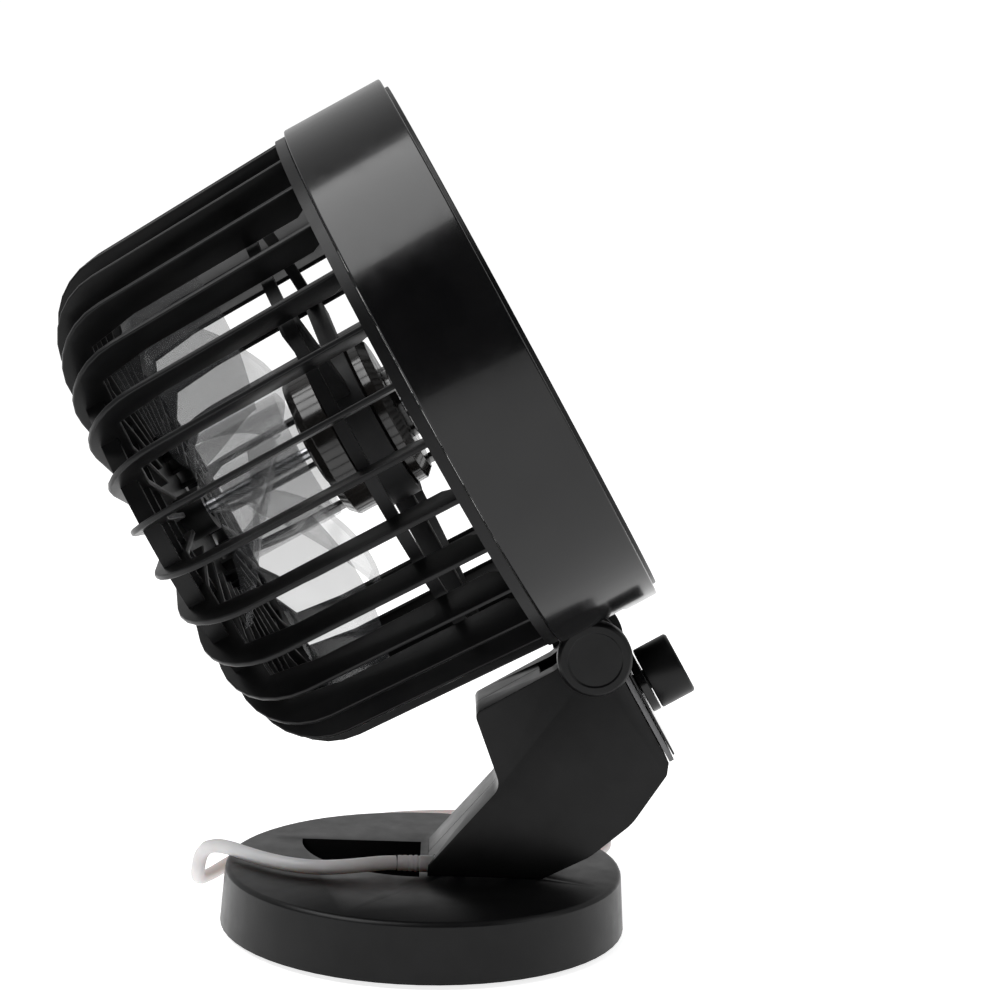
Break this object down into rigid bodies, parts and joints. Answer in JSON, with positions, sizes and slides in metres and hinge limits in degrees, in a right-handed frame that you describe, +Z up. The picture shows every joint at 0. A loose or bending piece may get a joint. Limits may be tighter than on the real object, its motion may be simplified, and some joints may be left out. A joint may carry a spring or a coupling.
{
  "type": "desk_fan",
  "caption": "Small black USB desk fan: ribbed round head with two smoke-grey impellers turning opposite ways, tilting on a thick arm over a round weighted base, with a speed knob",
  "frame": {"origin": "middle of the underside of the anti-slip pad, on the standing surface", "axes": "+Z up, front of the fan towards -Y, +X to the right of someone who stands in front of it and looks along +Y"},
  "size_m": [0.171, 0.1588, 0.21],
  "materials": {
    "satin_black": "satin moulded",
    "gloss_black": "polished",
    "inner_black": "matte moulded",
    "pad_rubber": "matte",
    "ballast_steel": "raw",
    "screw_steel": "plated",
    "trim_grey": "satin",
    "switch_metal": "satin",
    "board_green": "solder mask",
    "motor_black": "gloss black",
    "smoke_clear": "smoked transparent",
    "bush_brass": "sintered",
    "cord_grey": "soft satin"
  },
  "bodies": {
    "stand": {"base_shell": "satin_black", "anti_slip_pad": "pad_rubber", "base_plate": "inner_black", "ballast_plate": "ballast_steel", "plate_screw_1": "screw_steel", "plate_screw_2": "screw_steel", "plate_screw_3": "screw_steel", "plate_screw_4": "screw_steel", "foot_screw_1": "screw_steel", "foot_screw_2": "screw_steel", "foot_screw_3": "screw_steel", "foot_screw_4": "screw_steel", "arm_shell_left": "satin_black", "arm_shell_right": "satin_black", "arm_trim": "trim_grey", "control_panel": "gloss_black", "knob_collar": "gloss_black", "speed_switch": "switch_metal", "control_board": "board_green", "pivot_axle": "screw_steel", "pivot_cap_left": "satin_black", "pivot_cap_right": "satin_black", "cord_gland": "cord_grey", "supply_cord": "cord_grey", "cord_coil": "cord_grey", "cord_tail": "cord_grey", "usb_plug_body": "cord_grey", "usb_plug_shell": "screw_steel"},
    "head": {"head_band": "gloss_black", "tilt_bracket": "inner_black", "bracket_screw_left": "screw_steel", "bracket_screw_right": "screw_steel", "front_guard": "satin_black", "rear_grille": "satin_black", "motor_frame": "inner_black", "front_motor": "motor_black", "rear_motor": "motor_black", "rear_bearing": "bush_brass"},
    "front_rotor": {"front_impeller": "smoke_clear", "front_shaft": "screw_steel"},
    "rear_rotor": {"rear_impeller": "smoke_clear", "rear_shaft": "screw_steel"},
    "knob": {"speed_knob": "satin_black"}
  },
  "joints": [
    {"name": "head_tilt", "type": "hinge", "parent": "stand", "child": "head", "pos_m": [0, -0.0401, 0.0721], "axis": [1, 0, 0], "range_deg": [-8, 30]},
    {"name": "front_spin", "type": "hinge", "parent": "head", "child": "front_rotor", "pos_m": [0, -0.0193, 0.1487], "axis": [0, -0.8616, 0.5075], "continuous": true},
    {"name": "rear_spin", "type": "hinge", "parent": "head", "child": "rear_rotor", "pos_m": [0, -0.0193, 0.1487], "axis": [0, -0.8616, 0.5075], "continuous": true},
    {"name": "knob_turn", "type": "hinge", "parent": "stand", "child": "knob", "pos_m": [0, -0.04726, 0.05995], "axis": [0, -0.8616, 0.5075], "range_deg": [0, 270]}
  ]
}
